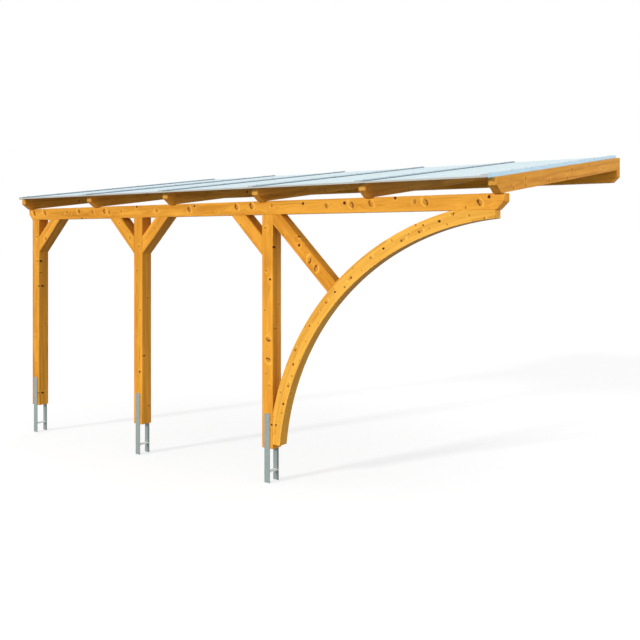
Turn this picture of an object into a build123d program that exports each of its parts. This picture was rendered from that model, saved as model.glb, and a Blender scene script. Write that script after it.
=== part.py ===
# Lean-to timber carport with a quarter-round entry arch and a translucent roof.
# Millimetres. +X runs along the front beam, +Y towards the wall, +Z up.
# The origin is on the rear face of the wall purlin, at its middle.
import math
import os

from build123d import *

# ---- driving dimensions -------------------------------------------------
# heights are counted from the underside of the posts ("h" values) and are
# shifted to the frame origin by BASE_Z at the end
POST = 120.0  # square post section
POST_H = 2040.0  # post length, underside of the front beam
POST_PITCH = 1630.0
POST_INSET = 60.0  # beam end to the first post

BEAM_LEN = 5550.0
BEAM_H = 120.0
BEAM_T = 100.0  # front to back
BEAM_BEVEL = 60.0  # 45 degree cut under both beam ends
DEPTH = 2965.0  # front face of the beam to the wall

PITCH_DEG = 7.0  # roof slope
RAFTER_W = 65.0
RAFTER_H = 120.0  # square to the slope
RAFTER_PITCH = 1092.0
RAFTER_COUNT = 6
SEAT = 2.0  # depth of the shallow level seat cut over beam and purlin
NOSE_OUT = 102.0  # rafter tail in front of the beam
NOSE_BACK = 20.0  # where the slanted cut of the tail ends, in front of the beam
NOSE_PLUMB = 55.5  # height of the plumb part of the tail

PURLIN_LEN = 5525.0
PURLIN_H = 120.0
PURLIN_T = 100.0
PURLIN_BEVEL = 55.0

BRACE_W = 120.0
BRACE_T = 120.0
BRACE_LEG = 270.0  # corner to the centre line of a knee brace

ARCH_RO = 2290.0
ARCH_RI = 2170.0
ARCH_T = 100.0
ARCH_CX = 2235.0  # arch centre, right of the right post's right face
ARCH_CH = -185.0  # arch centre height
ARCH_FOOT = 40.0  # height of the foot cut
ARCH_END = 69.0  # beam end to the arch's end cut
STRUT_W = 120.0

SHEET_T = 10.0
STRIP_T = 6.0  # bearing strips between rafters and sheets
SHEET_GAP = 12.0  # between neighbouring sheets, over a rafter
SHEET_OUT = 61.0  # sheet in front of the rafter tails
BAR_W = 60.0
BAR_H = 12.0
BAR_WEB = 6.0
EDGE_T = 3.0  # outer leg of the two edge bars
EDGE_IN = 5.0  # edge bars' outer face, inside the outer rafters' centre lines
TRIM_WALL = 1.5
TRIM_DEPTH = 25.0

ANCHOR_W = 60.0
ANCHOR_T = 5.0
ANCHOR_UP = 305.0
ANCHOR_DOWN = 300.0
ANCHOR_CROSS = 203.0  # top of the crosspiece under the post

# ---- derived positions --------------------------------------------------
slope = math.tan(math.radians(PITCH_DEG))
cosp = math.cos(math.radians(PITCH_DEG))
left = -BEAM_LEN / 2
right = BEAM_LEN / 2
front = -DEPTH
beam_top = POST_H + BEAM_H
plumb_h = RAFTER_H / cosp


def under(y):
    """Height of the rafters' underside at depth y."""
    return beam_top - SEAT + slope * (y - front)


def top(y):
    """Height of the rafters' top."""
    return under(y) + plumb_h


purlin_top = under(-PURLIN_T) + SEAT
purlin_bottom = purlin_top - PURLIN_H
BASE_Z = -(purlin_bottom + PURLIN_H / 2)  # height of the posts' underside

post_x = [left + POST_INSET + i * POST_PITCH for i in range(3)]
rafter_x = [(i - (RAFTER_COUNT - 1) / 2) * RAFTER_PITCH for i in range(RAFTER_COUNT)]


def box(x0, x1, y0, y1, h0, h1):
    """Box between two corners; heights from the posts' underside."""
    return Pos((x0 + x1) / 2, (y0 + y1) / 2, (h0 + h1) / 2 + BASE_Z) * Box(
        x1 - x0, y1 - y0, h1 - h0
    )


def prism_x(points, x0, x1):
    """Prism along X from (y, h) points."""
    line = Polyline([(x0, y, h + BASE_Z) for y, h in points], close=True)
    return extrude(make_face(line), amount=x1 - x0, dir=(1, 0, 0))


def prism_y(points, y0, y1):
    """Prism along Y from (x, h) points."""
    line = Polyline([(x, y0, h + BASE_Z) for x, h in points], close=True)
    return extrude(make_face(line), amount=y1 - y0, dir=(0, 1, 0))


nodes = {}

# posts
for name, x in zip(("post_left", "post_middle", "post_right"), post_x):
    nodes[name] = box(x, x + POST, front, front + POST, 0, POST_H)

# front beam, both ends plumb above and cut back at 45 degrees below
nodes["front_beam"] = prism_y(
    [
        (left + BEAM_BEVEL, POST_H),
        (right - BEAM_BEVEL, POST_H),
        (right, POST_H + BEAM_BEVEL),
        (right, beam_top),
        (left, beam_top),
        (left, POST_H + BEAM_BEVEL),
    ],
    front,
    front + BEAM_T,
)

# wall purlin, the same end cuts
px = PURLIN_LEN / 2
nodes["wall_purlin"] = prism_y(
    [
        (-px + PURLIN_BEVEL, purlin_bottom),
        (px - PURLIN_BEVEL, purlin_bottom),
        (px, purlin_bottom + PURLIN_BEVEL),
        (px, purlin_top),
        (-px, purlin_top),
        (-px, purlin_bottom + PURLIN_BEVEL),
    ],
    -PURLIN_T,
    0,
)

# rafters with a level seat on beam and purlin and a shaped tail
seat_run = SEAT / slope
tail = front - NOSE_OUT
nose = front - NOSE_BACK
rafter_profile = [
    (tail, top(tail)),
    (tail, top(tail) - NOSE_PLUMB),
    (nose, under(nose)),
    (front, under(front)),
    (front, beam_top),
    (front + seat_run, beam_top),
    (-PURLIN_T, under(-PURLIN_T)),
    (-PURLIN_T, purlin_top),
    (-PURLIN_T + seat_run, purlin_top),
    (0, under(0)),
    (0, top(0)),
]
for i, x in enumerate(rafter_x, 1):
    nodes[f"rafter_{i}"] = prism_x(rafter_profile, x - RAFTER_W / 2, x + RAFTER_W / 2)

# knee braces, 45 degrees, flush with the posts front and back
half = BRACE_W / math.sqrt(2)
inner, outer = BRACE_LEG - half, BRACE_LEG + half
braces = [
    (post_x[0] + POST, 1),
    (post_x[1], -1),
    (post_x[1] + POST, 1),
    (post_x[2], -1),
]
for i, (x, s) in enumerate(braces, 1):
    nodes[f"knee_brace_{i}"] = prism_y(
        [
            (x, POST_H - inner),
            (x, POST_H - outer),
            (x + s * outer, POST_H),
            (x + s * inner, POST_H),
        ],
        front,
        front + BRACE_T,
    )

# quarter-round arch: a laminated ring cut flat against post and beam
post_face = post_x[2] + POST
arch_x = post_face + ARCH_CX


def disc(radius):
    return (
        Pos(arch_x, front + ARCH_T / 2, ARCH_CH + BASE_Z)
        * Rot(90, 0, 0)
        * Cylinder(radius, ARCH_T)
    )


nodes["entry_arch"] = (disc(ARCH_RO) - disc(ARCH_RI)) & box(
    post_face, right - ARCH_END, front - 10, front + ARCH_T + 10, ARCH_FOOT, POST_H
)

# strut from the post and beam corner, radial to the arch
a = math.atan2(POST_H - ARCH_CH, ARCH_CX)
reach = math.hypot(ARCH_CX, POST_H - ARCH_CH) - ARCH_RO + 20
ca, sa = math.cos(a), math.sin(a)
w = STRUT_W / 2
back = 200.0
strut = prism_y(
    [
        (post_face - back * ca + w * sa, POST_H + back * sa + w * ca),
        (post_face - back * ca - w * sa, POST_H + back * sa - w * ca),
        (post_face + reach * ca - w * sa, POST_H - reach * sa - w * ca),
        (post_face + reach * ca + w * sa, POST_H - reach * sa + w * ca),
    ],
    front,
    front + ARCH_T,
)
strut = strut & box(post_face, right, front - 10, front + ARCH_T + 10, 0, POST_H)
nodes["arch_strut"] = strut - disc(ARCH_RO)


def roof(y, n):
    """Point of the roof: y along the rafters' top, n square off it."""
    return (y - n * math.sin(math.radians(PITCH_DEG)), top(y) + n * cosp)


# centres of the glazing bars; the edge bars sit on the outer rafters' inner half
bar_x = list(rafter_x)
bar_x[0] += EDGE_IN + BAR_W / 2
bar_x[-1] -= EDGE_IN + BAR_W / 2

# sheets between rafter centres, rear ends plumb against the wall
sheet_front = tail - SHEET_OUT
n0, n1 = STRIP_T, STRIP_T + SHEET_T  # the sheets' underside and top
for i in range(RAFTER_COUNT - 1):
    x0 = rafter_x[i] + SHEET_GAP / 2
    x1 = rafter_x[i + 1] - SHEET_GAP / 2
    if i == 0:
        x0 = rafter_x[0] + EDGE_IN + EDGE_T + 1.0
    if i == RAFTER_COUNT - 2:
        x1 = rafter_x[-1] - EDGE_IN - EDGE_T - 1.0
    nodes[f"roof_sheet_{i + 1}"] = prism_x(
        [
            roof(sheet_front, n0),
            (0, top(0) + n0 / cosp),
            (0, top(0) + n1 / cosp),
            roof(sheet_front, n1),
        ],
        x0,
        x1,
    )
    # channel over the sheet's front edge, between the glazing bars
    c0 = bar_x[i] + BAR_W / 2 + 1.0
    c1 = bar_x[i + 1] - BAR_W / 2 - 1.0
    channel = prism_x(
        [
            roof(sheet_front - TRIM_WALL, n0 - TRIM_WALL),
            roof(sheet_front + TRIM_DEPTH, n0 - TRIM_WALL),
            roof(sheet_front + TRIM_DEPTH, n1 + TRIM_WALL),
            roof(sheet_front - TRIM_WALL, n1 + TRIM_WALL),
        ],
        c0,
        c1,
    )
    nodes[f"front_trim_{i + 1}"] = channel - prism_x(
        [
            roof(sheet_front, n0),
            roof(sheet_front + TRIM_DEPTH + 10, n0),
            roof(sheet_front + TRIM_DEPTH + 10, n1),
            roof(sheet_front, n1),
        ],
        x0,
        x1,
    )

# glazing bars: a cap over the sheets, a bearing strip under them and a web between
# them; the two edge bars have a leg outside the sheet instead of the web
for i, x in enumerate(bar_x, 1):
    cap = [
        roof(sheet_front, n1),
        (0, top(0) + n1 / cosp),
        (0, top(0) + (n1 + BAR_H) / cosp),
        roof(sheet_front, n1 + BAR_H),
    ]
    web_front = tail
    w0, w1 = x - BAR_WEB / 2, x + BAR_WEB / 2
    if i == 1:
        web_front, w0, w1 = sheet_front, x - BAR_W / 2, x - BAR_W / 2 + EDGE_T
    if i == RAFTER_COUNT:
        web_front, w0, w1 = sheet_front, x + BAR_W / 2 - EDGE_T, x + BAR_W / 2
    web = [
        roof(web_front, 0),
        (0, top(0)),
        (0, top(0) + n1 / cosp),
        roof(web_front, n1),
    ]
    strip = [
        roof(tail, 0),
        (0, top(0)),
        (0, top(0) + n0 / cosp),
        roof(tail, n0),
    ]
    bar = prism_x(cap, x - BAR_W / 2, x + BAR_W / 2)
    bar += prism_x(web, w0, w1)
    nodes[f"glazing_bar_{i}"] = bar + prism_x(strip, x - BAR_W / 2, x + BAR_W / 2)

# H-shaped post anchors: two flats and a crosspiece
for name, x in zip(("anchor_left", "anchor_middle", "anchor_right"), post_x):
    x0 = x + (POST - ANCHOR_W) / 2
    x1 = x0 + ANCHOR_W
    rear = front + POST
    nodes[name] = (
        box(x0, x1, front - ANCHOR_T, front, -ANCHOR_DOWN, ANCHOR_UP)
        + box(x0, x1, rear, rear + ANCHOR_T, -ANCHOR_DOWN, ANCHOR_UP)
        + box(x0, x1, front, rear, -ANCHOR_CROSS - ANCHOR_T, -ANCHOR_CROSS)
    )

os.makedirs("parts", exist_ok=True)
for name, shape in nodes.items():
    solids = shape.solids()
    assert len(solids) == 1, (name, len(solids))
    solid = solids[0]
    solid.label = name
    export_step(solid, f"parts/{name}.step")

print("base z", round(BASE_Z, 3), "roof top at wall", round(top(0) + BASE_Z, 3))
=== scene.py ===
# Looks of the lean-to timber carport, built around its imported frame.
# Metres, in the frame of the CAD model: +X along the front beam, +Y to the wall.
import math
import random

import bmesh
import bpy
from mathutils import Matrix, Vector


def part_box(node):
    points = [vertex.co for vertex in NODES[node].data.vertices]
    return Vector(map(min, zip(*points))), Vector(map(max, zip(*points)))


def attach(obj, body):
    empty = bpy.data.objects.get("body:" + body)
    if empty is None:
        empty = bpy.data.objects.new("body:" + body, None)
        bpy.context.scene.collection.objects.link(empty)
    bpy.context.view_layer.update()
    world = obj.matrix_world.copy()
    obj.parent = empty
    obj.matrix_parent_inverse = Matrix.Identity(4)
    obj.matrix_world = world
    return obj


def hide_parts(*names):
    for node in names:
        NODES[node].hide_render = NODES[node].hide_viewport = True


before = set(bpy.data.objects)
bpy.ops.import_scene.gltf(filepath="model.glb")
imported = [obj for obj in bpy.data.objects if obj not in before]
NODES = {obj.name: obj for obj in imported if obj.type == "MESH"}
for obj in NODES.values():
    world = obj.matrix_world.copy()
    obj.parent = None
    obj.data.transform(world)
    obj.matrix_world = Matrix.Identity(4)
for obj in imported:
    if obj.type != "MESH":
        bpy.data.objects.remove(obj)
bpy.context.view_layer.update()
scene = bpy.context.scene

# ---- sizes, as in the construction ---------------------------------------
PITCH = math.radians(7.0)
SLOPE, COSP, SINP = math.tan(PITCH), math.cos(PITCH), math.sin(PITCH)
POST, POST_H = 0.120, 2.040
BEAM_T, BEAM_H, BEAM_TOP = 0.100, 0.120, 2.160
FRONT = -2.965
RIGHT = 2.775
RAFTER_W = 0.065
PLUMB = 0.120 / COSP
PURLIN_T = 0.100
N0, N1 = 0.006, 0.016  # sheets' underside and top over the rafters
BAR_W, BAR_H = 0.060, 0.012
ARCH_RO, ARCH_RI, ARCH_T = 2.290, 2.170, 0.100
POST_X = [-2.715, -1.085, 0.545]
RAFTER_X = [(i - 2.5) * 1.092 for i in range(6)]
BAR_X = [RAFTER_X[0] + 0.035] + RAFTER_X[1:5] + [RAFTER_X[5] - 0.035]
ARCH_X, ARCH_Z = 0.665 + 2.235, -0.185
TAIL = FRONT - 0.102
SHEET_FRONT = TAIL - 0.061


SKY_UP, SKY_LOW, KEY, FILL = 0.74, 0.12, 2.00, 148.0


def under(y):
    return BEAM_TOP - 0.002 + SLOPE * (y - FRONT)


def top(y):
    return under(y) + PLUMB


BASE_Z = -(under(-PURLIN_T) + 0.002 - 0.060)  # height of the posts' underside


def roof(x, y, n):
    """Point over the rafters' top: n square off the slope."""
    return Vector((x, y - n * SINP, top(y) + n * COSP + BASE_Z))


# ---- camera ---------------------------------------------------------------
cam_data = bpy.data.cameras.new("camera")
cam_data.sensor_width = 36.0
cam_data.lens = 47.2997
cam_data.shift_x = 0.045283
cam_data.shift_y = -0.125445
cam_data.clip_end = 300.0
cam = bpy.data.objects.new("camera", cam_data)
cam.location = (5.16173, -8.72593, 1.82149 + BASE_Z)
cam.rotation_euler = (math.pi / 2, 0.0, 0.6411005)
scene.collection.objects.link(cam)
scene.camera = cam
scene.view_settings.view_transform = "Standard"
scene.view_settings.look = "None"

# ---- light ----------------------------------------------------------------
world = bpy.data.worlds.new("studio")
world.use_nodes = True
sky = world.node_tree
background = sky.nodes["Background"]
coord = sky.nodes.new("ShaderNodeTexCoord")
split = sky.nodes.new("ShaderNodeSeparateXYZ")
upper = sky.nodes.new("ShaderNodeMapRange")
lower = sky.nodes.new("ShaderNodeMapRange")
sky.links.new(coord.outputs["Generated"], split.inputs[0])
for node_, span_ in ((upper, (0.30, 0.55, 1.0, SKY_UP)), (lower, (-0.12, -0.05, SKY_LOW, 1.0))):
    node_.interpolation_type = "SMOOTHSTEP"
    sky.links.new(split.outputs[2], node_.inputs["Value"])
    for name, value in zip(("From Min", "From Max", "To Min", "To Max"), span_):
        node_.inputs[name].default_value = value
least = sky.nodes.new("ShaderNodeMath")
least.operation = "MINIMUM"
sky.links.new(upper.outputs["Result"], least.inputs[0])
sky.links.new(lower.outputs["Result"], least.inputs[1])
sky.links.new(least.outputs[0], background.inputs["Strength"])
background.inputs["Color"].default_value = (1.0, 1.0, 1.0, 1.0)
scene.world = world

key_data = bpy.data.lights.new("key", "SUN")
key_data.energy = KEY
key_data.angle = math.radians(6)
key = bpy.data.objects.new("key", key_data)
key.rotation_euler = Vector((0.30, 0.86, -0.33)).to_track_quat("-Z", "Y").to_euler()
scene.collection.objects.link(key)

fill_data = bpy.data.lights.new("fill", "AREA")
fill_data.shape = "DISK"
fill_data.size = 4.0
fill_data.energy = FILL
fill = bpy.data.objects.new("fill", fill_data)
fill.location = (8.8, -2.2, 0.6)
fill.rotation_euler = (Vector((1.5, -1.5, -0.7)) - fill.location).to_track_quat("-Z", "Y").to_euler()
fill.visible_camera = False
scene.collection.objects.link(fill)


# ---- node helpers ---------------------------------------------------------
class Net:
    """Short names for building a shader tree."""

    def __init__(self, tree):
        self.tree = tree

    def node(self, kind, **props):
        n = self.tree.nodes.new(kind)
        for k, v in props.items():
            setattr(n, k, v)
        return n

    def put(self, socket, value):
        if isinstance(value, bpy.types.NodeSocket):
            self.tree.links.new(value, socket)
        elif value is not None:
            socket.default_value = value

    def m(self, op, a, b=None, c=None, clamp=False):
        n = self.node("ShaderNodeMath", operation=op, use_clamp=clamp)
        self.put(n.inputs[0], a)
        self.put(n.inputs[1], b)
        self.put(n.inputs[2], c)
        return n.outputs[0]

    def v(self, op, a, b=None, scale=None):
        n = self.node("ShaderNodeVectorMath", operation=op)
        self.put(n.inputs[0], a)
        self.put(n.inputs[1], b)
        if scale is not None:
            self.put(n.inputs["Scale"], scale)
        return n.outputs["Value" if op in ("LENGTH", "DOT_PRODUCT") else "Vector"]

    def sep(self, vector):
        n = self.node("ShaderNodeSeparateXYZ")
        self.put(n.inputs[0], vector)
        return n.outputs

    def comb(self, x=0.0, y=0.0, z=0.0):
        n = self.node("ShaderNodeCombineXYZ")
        for s, value in zip(n.inputs, (x, y, z)):
            self.put(s, value)
        return n.outputs[0]

    def noise(self, vector, scale=1.0, detail=2.0, rough=0.5, dims="3D", color=False):
        n = self.node("ShaderNodeTexNoise", noise_dimensions=dims)
        self.put(n.inputs["W" if dims == "1D" else "Vector"], vector)
        n.inputs["Scale"].default_value = scale
        n.inputs["Detail"].default_value = detail
        n.inputs["Roughness"].default_value = rough
        return n.outputs["Color" if color else "Fac"]

    def span(self, value, a0, a1, b0=0.0, b1=1.0, smooth=True):
        n = self.node(
            "ShaderNodeMapRange", interpolation_type="SMOOTHSTEP" if smooth else "LINEAR"
        )
        self.put(n.inputs["Value"], value)
        for name, x in zip(("From Min", "From Max", "To Min", "To Max"), (a0, a1, b0, b1)):
            n.inputs[name].default_value = x
        return n.outputs["Result"]

    def ramp(self, value, stops):
        n = self.node("ShaderNodeValToRGB")
        self.put(n.inputs[0], value)
        e = n.color_ramp.elements
        while len(e) > 1:
            e.remove(e[-1])
        for i, (pos, col) in enumerate(stops):
            el = e[0] if i == 0 else e.new(pos)
            el.position = pos
            el.color = (col, col, col, 1) if isinstance(col, float) else (*col, 1)
        return n.outputs["Color"]

    def mix(self, fac, a, b, blend="MIX"):
        n = self.node("ShaderNodeMix", data_type="RGBA", blend_type=blend)
        self.put(n.inputs[0], fac)
        self.put(n.inputs[6], a if isinstance(a, bpy.types.NodeSocket) else (*a, 1))
        self.put(n.inputs[7], b if isinstance(b, bpy.types.NodeSocket) else (*b, 1))
        return n.outputs[2]

    def group(self, tree, **values):
        n = self.node("ShaderNodeGroup")
        n.node_tree = tree
        for k, value in values.items():
            self.put(n.inputs[k.replace("_", " ")], value)
        return n.outputs


def make_group(name, inputs, outputs):
    g = bpy.data.node_groups.new(name, "ShaderNodeTree")
    kinds = {"F": "NodeSocketFloat", "V": "NodeSocketVector", "C": "NodeSocketColor"}
    for n, k in inputs:
        g.interface.new_socket(name=n, in_out="INPUT", socket_type=kinds[k])
    for n, k in outputs:
        g.interface.new_socket(name=n, in_out="OUTPUT", socket_type=kinds[k])
    net = Net(g)
    return g, net, net.node("NodeGroupInput").outputs, net.node("NodeGroupOutput").inputs


# the closest knot so far: a branch that starts at the pith and widens outwards.
# The vector is (distance, 1 at the knot's edge; place along the grain; kind).
KNOT, net, gi, go = make_group(
    "knot",
    [("P", "V"), ("Start", "V"), ("Way", "V"), ("Radius", "F"), ("Reach", "F"), ("Flip", "F"), ("Kind", "F"),
     ("Miss", "F"), ("So far", "V")],
    [("Near", "V")],
)
w = net.v("SUBTRACT", gi["P"], gi["Start"])
along = net.v("DOT_PRODUCT", w, gi["Way"])
perp = net.v("SUBTRACT", w, net.v("SCALE", gi["Way"], scale=along))
share = net.m("MINIMUM", net.m("MAXIMUM", net.m("DIVIDE", along, gi["Reach"]), 0.06), 1.3)
size = net.m("MULTIPLY", gi["Radius"], share)
near = net.m("DIVIDE", net.v("LENGTH", perp), size)
near = net.m("ADD", near, net.m("MULTIPLY", net.m("LESS_THAN", along, 0.0), 60.0))
near = net.m("ADD", near, gi["Miss"])
side = net.m("MULTIPLY", net.m("DIVIDE", net.v("DOT_PRODUCT", perp, (1.0, 0.0, 0.0)), size), gi["Flip"])
new = net.comb(near, side, gi["Kind"])
nearer = net.m("LESS_THAN", near, net.v("DOT_PRODUCT", gi["So far"], (1.0, 0.0, 0.0)))
step_ = net.v("SCALE", net.v("SUBTRACT", new, gi["So far"]), scale=nearer)
net.put(go["Near"], net.v("ADD", gi["So far"], step_))

# growth rings, grain and knots of a piece of softwood, from coordinates along
# the grain (x) and across it (y, z)
GRAIN, net, gi, go = make_group(
    "grain",
    [("P", "V"), ("Near", "F"), ("Seed", "F"), ("Pith", "V"), ("Ring", "F")],
    [("Tone", "F"), ("Height", "F")],
)
lx, ay, bz = net.sep(gi["P"])
seedv = net.comb(net.m("MULTIPLY", gi["Seed"], 7.31), net.m("MULTIPLY", gi["Seed"], 3.17), net.m("MULTIPLY", gi["Seed"], 5.73))
bow = net.noise(net.v("ADD", net.comb(net.m("MULTIPLY", lx, 0.55)), seedv), detail=1.0, color=True)
bow = net.v("MULTIPLY", net.v("SUBTRACT", bow, (0.5, 0.5, 0.5)), (0.0, 0.050, 0.050))
centred = net.v("ADD", net.v("SUBTRACT", gi["P"], gi["Pith"]), bow)
radius = net.v("LENGTH", net.v("MULTIPLY", centred, (0.0, 1.0, 1.0)))
wob = net.noise(net.v("ADD", net.v("MULTIPLY", gi["P"], (1.7, 10.0, 10.0)), seedv), detail=2.0)
wob = net.m("MULTIPLY", net.m("SUBTRACT", wob, 0.5), 0.016)
bulge = net.m("MULTIPLY", net.m("POWER", 2.718, net.m("MULTIPLY", gi["Near"], -0.45)), 0.0165)
rk = net.m("ADD", radius, wob)
rk = net.m("SUBTRACT", rk, net.m("MULTIPLY", lx, 0.005))
rk = net.m("SUBTRACT", rk, bulge)
cyc = net.m("DIVIDE", rk, gi["Ring"])
cyc = net.m("ADD", cyc, net.m("MULTIPLY", net.noise(net.m("MULTIPLY", rk, 60.0), dims="1D", detail=1.0), 2.6))
fr = net.m("FRACT", cyc)
late = net.ramp(fr, [(0.0, 0.0), (0.45, 0.08), (0.78, 0.62), (0.92, 1.0), (0.985, 0.9), (1.0, 0.05)])
power = net.noise(net.m("MULTIPLY", rk, 95.0), dims="1D", detail=1.0)
late = net.m("MULTIPLY", late, net.span(power, 0.3, 0.75, 0.35, 1.25))
streak = net.noise(net.v("ADD", net.comb(net.m("MULTIPLY", lx, 2.4), net.m("MULTIPLY", rk, 58.0), net.m("MULTIPLY", net.m("SUBTRACT", ay, bz), 16.0)), seedv), detail=3.0, rough=0.62)
band = net.noise(net.m("ADD", net.m("MULTIPLY", rk, 38.0), net.m("MULTIPLY", gi["Seed"], 2.9)), dims="1D", detail=2.0)
fibre = net.noise(net.v("ADD", net.v("MULTIPLY", gi["P"], (8.0, 480.0, 480.0)), seedv), detail=2.0, rough=0.6)
fleck = net.noise(net.v("ADD", net.v("MULTIPLY", gi["P"], (42.0, 1300.0, 1300.0)), seedv), detail=1.0)
fleck = net.span(fleck, 0.66, 0.78)
cloud = net.noise(net.v("ADD", net.v("MULTIPLY", gi["P"], (1.3, 7.0, 7.0)), seedv), detail=2.0)
tone = net.m("MULTIPLY_ADD", late, 0.42, 0.20)
tone = net.m("MULTIPLY_ADD", net.m("SUBTRACT", band, 0.5), 1.0, tone)
tone = net.m("MULTIPLY_ADD", net.m("SUBTRACT", streak, 0.5), 1.5, tone)
tone = net.m("MULTIPLY_ADD", net.m("SUBTRACT", fibre, 0.5), 0.26, tone)
tone = net.m("MULTIPLY_ADD", net.m("SUBTRACT", cloud, 0.5), 0.85, tone)
tone = net.m("MULTIPLY_ADD", fleck, 0.22, tone)
height = net.m("MULTIPLY_ADD", late, 0.30, net.m("MULTIPLY", fibre, 0.35))
height = net.m("MULTIPLY_ADD", fleck, -0.35, height)
net.put(go["Tone"], tone)
net.put(go["Height"], height)


def material(name):
    m = bpy.data.materials.new(name)
    m.use_nodes = True
    t = m.node_tree
    t.nodes.clear()
    net = Net(t)
    out = net.node("ShaderNodeOutputMaterial")
    bsdf = net.node("ShaderNodeBsdfPrincipled")
    t.links.new(bsdf.outputs[0], out.inputs["Surface"])
    return m, net, bsdf


def wood_finish(net, bsdf, P, L, near, seed, pith, ring, light, dark, tint, extra_tone=None, lines=None, cracks=None, ends=(0.92, 0.90, 0.95)):
    """Colour, gloss and relief of glazed spruce. light and dark are the early and late wood."""
    dist, side, kind = net.sep(near)
    g = net.group(GRAIN, P=P, Near=dist, Seed=seed, Pith=pith, Ring=ring)
    tone = g["Tone"]
    if extra_tone is not None:
        tone = net.m("ADD", tone, extra_tone)
    tone = net.m("MAXIMUM", net.m("MINIMUM", tone, 1.30), -0.20)
    col = net.mix(tone, light, dark)
    dead = net.m("GREATER_THAN", kind, 1.5)
    sound = net.m("MULTIPLY", net.m("SUBTRACT", 1.0, dead), net.m("MINIMUM", kind, 1.0))
    # redder wood round a knot, and a pale patch where the grain parts
    warm = tuple(x * y for x, y in zip(dark, (0.84, 0.62, 0.45)))
    halo = net.span(dist, 0.9, 2.7, 1.0, 0.0)
    col = net.mix(net.m("MULTIPLY", net.m("POWER", halo, 2.0), 0.40), col, warm)
    pale = tuple(min(1.0, x * y) for x, y in zip(light, (1.14, 1.36, 2.0)))
    ring_mask = net.span(net.m("ABSOLUTE", net.m("SUBTRACT", dist, 1.75)), 0.10, 0.75, 1.0, 0.0)
    one_side = net.span(side, -0.10, 1.00, 0.08, 1.0)
    col = net.mix(net.m("MULTIPLY", net.m("MULTIPLY", ring_mask, one_side), net.m("MULTIPLY_ADD", sound, 0.34, 0.40)), col, pale)
    rings = net.m("SINE", net.m("MULTIPLY", dist, 17.0))
    disc = net.span(dist, 0.84, 1.03, 1.0, 0.0)
    # sound knots: a mid-brown disc with a dark crescent on one side
    warm_disc = net.mix(net.m("MULTIPLY_ADD", rings, 0.25, 0.5), (0.640, 0.270, 0.034), (0.400, 0.135, 0.016))
    col = net.mix(net.m("MULTIPLY", net.m("MULTIPLY", disc, net.span(side, -0.9, 0.7, 1.0, 0.0)), net.m("MULTIPLY_ADD", sound, 0.30, 0.28)), col, warm_disc)
    arc = net.span(net.m("ABSOLUTE", net.m("SUBTRACT", net.m("MULTIPLY_ADD", side, -0.22, dist), 1.16)), 0.20, 0.60, 1.0, 0.0)
    arc = net.m("MULTIPLY", arc, net.span(side, -0.55, 0.15, 1.0, 0.0))
    col = net.mix(net.m("MULTIPLY", net.m("MULTIPLY", arc, net.m("POWER", sound, 0.6)), 0.97), col, (0.110, 0.030, 0.005))
    # dead knots: dark, with a darker core and a black rim
    core = net.span(dist, 0.0, 0.70, 1.0, 0.0)
    inner = net.mix(net.m("MULTIPLY_ADD", rings, 0.25, 0.5), (0.135, 0.028, 0.005), (0.070, 0.014, 0.003))
    inner = net.mix(net.m("MULTIPLY", core, 0.70), inner, (0.022, 0.005, 0.002))
    col = net.mix(net.m("MULTIPLY", disc, dead), col, inner)
    rim = net.span(net.m("ABSOLUTE", net.m("SUBTRACT", dist, 0.94)), 0.03, 0.18, 1.0, 0.0)
    rim = net.m("MULTIPLY", rim, dead)
    col = net.mix(net.m("MULTIPLY", rim, 0.85), col, (0.035, 0.010, 0.003))
    height = g["Height"]
    height = net.m("MULTIPLY_ADD", net.m("MULTIPLY", disc, dead), 0.15, height)
    height = net.m("MULTIPLY_ADD", rim, -0.35, height)
    if lines is not None:
        col = net.mix(net.m("MULTIPLY", lines, 0.45), col, (0.16, 0.062, 0.010))
        height = net.m("MULTIPLY_ADD", lines, -0.6, height)
    if cracks is not None:
        col = net.mix(net.m("MULTIPLY", cracks, 0.85), col, (0.060, 0.020, 0.005))
        height = net.m("MULTIPLY_ADD", cracks, -3.0, height)
    geo = net.node("ShaderNodeNewGeometry")
    end = net.m("ABSOLUTE", net.v("DOT_PRODUCT", geo.outputs["Normal"], L))
    end = net.span(end, 0.55, 0.90)
    col = net.mix(end, col, ends, "MULTIPLY")
    if tint != (1.0, 1.0, 1.0):
        col = net.mix(1.0, col, tint, "MULTIPLY")
    net.put(bsdf.inputs["Base Color"], col)
    gloss = net.noise(net.v("MULTIPLY", P, (6.0, 40.0, 40.0)), detail=2.0)
    rough = net.m("MULTIPLY_ADD", gloss, 0.22, 0.40)
    rough = net.m("MULTIPLY_ADD", end, 0.15, rough)
    net.put(bsdf.inputs["Roughness"], rough)
    bsdf.inputs["Specular IOR Level"].default_value = 0.06
    bump = net.node("ShaderNodeBump")
    bump.inputs["Strength"].default_value = 0.5
    bump.inputs["Distance"].default_value = 0.0008
    net.put(bump.inputs["Height"], height)
    net.put(bsdf.inputs["Normal"], bump.outputs["Normal"])


FAR = (40.0, 0.0, 0.0)
DEAD = 2.0


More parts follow.
